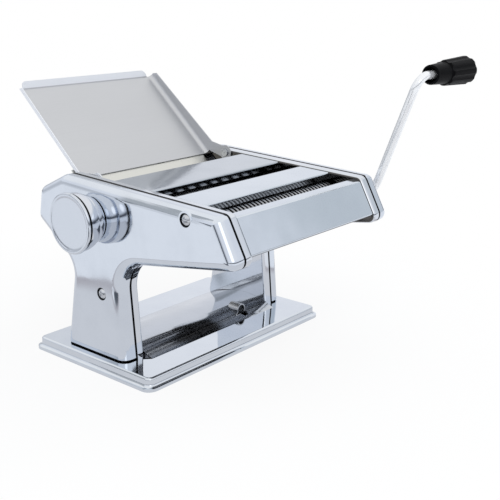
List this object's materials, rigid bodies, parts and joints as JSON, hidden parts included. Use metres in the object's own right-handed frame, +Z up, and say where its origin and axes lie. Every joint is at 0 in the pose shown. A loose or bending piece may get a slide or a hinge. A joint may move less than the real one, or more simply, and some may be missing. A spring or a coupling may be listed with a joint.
{
  "type": "pasta machine",
  "caption": "Hand cranked pasta machine: chromed side frames on a base pan, smooth rollers with a thickness regulator, two cutter pairs, a folding feed tray and a removable crank.",
  "frame": {"origin": "on the table under the base pan, midway along its width, in the plane of its rim", "axes": "+X along the rollers towards the crank, -Y to the front where the cutters are, +Z up"},
  "size_m": [0.3046, 0.2765, 0.2291],
  "materials": {
    "polished_chrome": "mirror polished plating",
    "cover_chrome": "polished plating with soft reflections",
    "panel_chrome": "polished plating",
    "knob_chrome": "bright turned plating",
    "knob_face": "satin turned face",
    "rod_chrome": "bright plated rod",
    "satin_steel": "satin sheet",
    "tray_steel": "fine brushed sheet",
    "machined_steel": "machined",
    "screw_steel": "bright zinc",
    "smooth_roller": "ground and anodised",
    "cutter_alloy": "turned and anodised",
    "gear_steel": "hardened, oiled",
    "white_nylon": "moulded nylon",
    "index_brass": "turned",
    "black_rubber": "matt moulded",
    "grip_plastic": "smooth moulded"
  },
  "bodies": {
    "frame": {"base_plate": "polished_chrome", "floor_ramp": "polished_chrome", "clamp_socket": "machined_steel", "rubber_feet": "black_rubber", "foot_screws": "screw_steel", "left_inner_frame": "polished_chrome", "right_inner_frame": "polished_chrome", "left_side_cover": "cover_chrome", "right_side_cover": "cover_chrome", "cover_posts": "machined_steel", "cover_screws": "screw_steel", "tie_rods": "machined_steel", "tie_rod_screws": "screw_steel", "front_panel": "panel_chrome", "middle_cover": "panel_chrome", "top_cover": "panel_chrome", "rear_panel": "panel_chrome", "feed_guide": "satin_steel", "smooth_scrapers": "machined_steel", "narrow_combs": "machined_steel", "wide_combs": "machined_steel", "smooth_bushes": "white_nylon", "cutter_bushes": "white_nylon", "left_regulator_block": "white_nylon", "right_regulator_block": "white_nylon", "index_plate": "index_brass", "crank_ferrules": "machined_steel", "tray_rivets": "screw_steel"},
    "tray": {"feed_tray": "tray_steel"},
    "regulator": {"regulator_shaft": "machined_steel", "spring_nut": "index_brass", "knob_spring": "machined_steel"},
    "knob": {"regulator_knob": "knob_chrome", "knob_face_disc": "knob_face", "index_pin": "machined_steel"},
    "carriage": {"roller_core": "machined_steel"},
    "adjustable_roller_body": {"adjustable_roller": "smooth_roller", "adjustable_roller_gear": "gear_steel"},
    "fixed_roller_body": {"fixed_roller": "smooth_roller", "fixed_roller_gear": "gear_steel"},
    "narrow_drive": {"narrow_drive_cutter": "cutter_alloy", "narrow_drive_gear": "gear_steel"},
    "narrow_driven": {"narrow_driven_cutter": "cutter_alloy", "narrow_driven_gear": "gear_steel"},
    "wide_drive": {"wide_drive_cutter": "cutter_alloy", "wide_drive_gear": "gear_steel"},
    "wide_driven": {"wide_driven_cutter": "cutter_alloy", "wide_driven_gear": "gear_steel"},
    "crank": {"crank_rod": "rod_chrome", "crank_drive_pin": "machined_steel", "grip_retainer": "machined_steel"},
    "grip": {"crank_grip": "grip_plastic", "grip_end_cap": "grip_plastic"}
  },
  "joints": [
    {"name": "tray_fold", "type": "hinge", "parent": "frame", "child": "tray", "pos_m": [0, 0.01785, 0.1431], "axis": [1, 0, 0], "range_deg": [0, 140]},
    {"name": "regulator_turn", "type": "hinge", "parent": "frame", "child": "regulator", "pos_m": [0, 0.002, 0.1185], "axis": [1, 0, 0], "range_deg": [0, 180]},
    {"name": "knob_pull", "type": "slide", "parent": "regulator", "child": "knob", "axis": [-1, 0, 0], "range_m": [0, 0.0035], "stiffness_N_per_m": 1200, "springref_m": -0.003, "deforming": ["knob_spring"]},
    {"name": "carriage_slide", "type": "slide", "parent": "frame", "child": "carriage", "axis": [0, 1, 0], "range_m": [0, 0.0024]},
    {"name": "adjustable_roller_spin", "type": "hinge", "parent": "carriage", "child": "adjustable_roller_body", "pos_m": [0, 0.0008, 0.1185], "axis": [1, 0, 0], "continuous": true},
    {"name": "fixed_roller_spin", "type": "hinge", "parent": "frame", "child": "fixed_roller_body", "pos_m": [0, 0.0316, 0.1185], "axis": [1, 0, 0], "continuous": true},
    {"name": "narrow_drive_spin", "type": "hinge", "parent": "frame", "child": "narrow_drive", "pos_m": [0, -0.116, 0.121], "axis": [1, 0, 0], "continuous": true},
    {"name": "narrow_driven_spin", "type": "hinge", "parent": "frame", "child": "narrow_driven", "pos_m": [0, -0.0928, 0.121], "axis": [1, 0, 0], "continuous": true},
    {"name": "wide_drive_spin", "type": "hinge", "parent": "frame", "child": "wide_drive", "pos_m": [0, -0.064, 0.121], "axis": [1, 0, 0], "continuous": true},
    {"name": "wide_driven_spin", "type": "hinge", "parent": "frame", "child": "wide_driven", "pos_m": [0, -0.0408, 0.121], "axis": [1, 0, 0], "continuous": true},
    {"name": "crank_pull", "type": "slide", "parent": "narrow_drive", "child": "crank", "axis": [1, 0, 0], "range_m": [0, 0.02]},
    {"name": "grip_spin", "type": "hinge", "parent": "crank", "child": "grip", "pos_m": [0.15, -0.15343, 0.2175], "axis": [1, 0, 0], "continuous": true}
  ],
  "couplings": [
    {"joint": "adjustable_roller_spin", "follows": "fixed_roller_spin", "ratio": -1},
    {"joint": "narrow_driven_spin", "follows": "narrow_drive_spin", "ratio": -1},
    {"joint": "wide_driven_spin", "follows": "wide_drive_spin", "ratio": -1},
    {"joint": "regulator_turn", "follows": "carriage_slide", "rad_per_m": 1309}
  ]
}
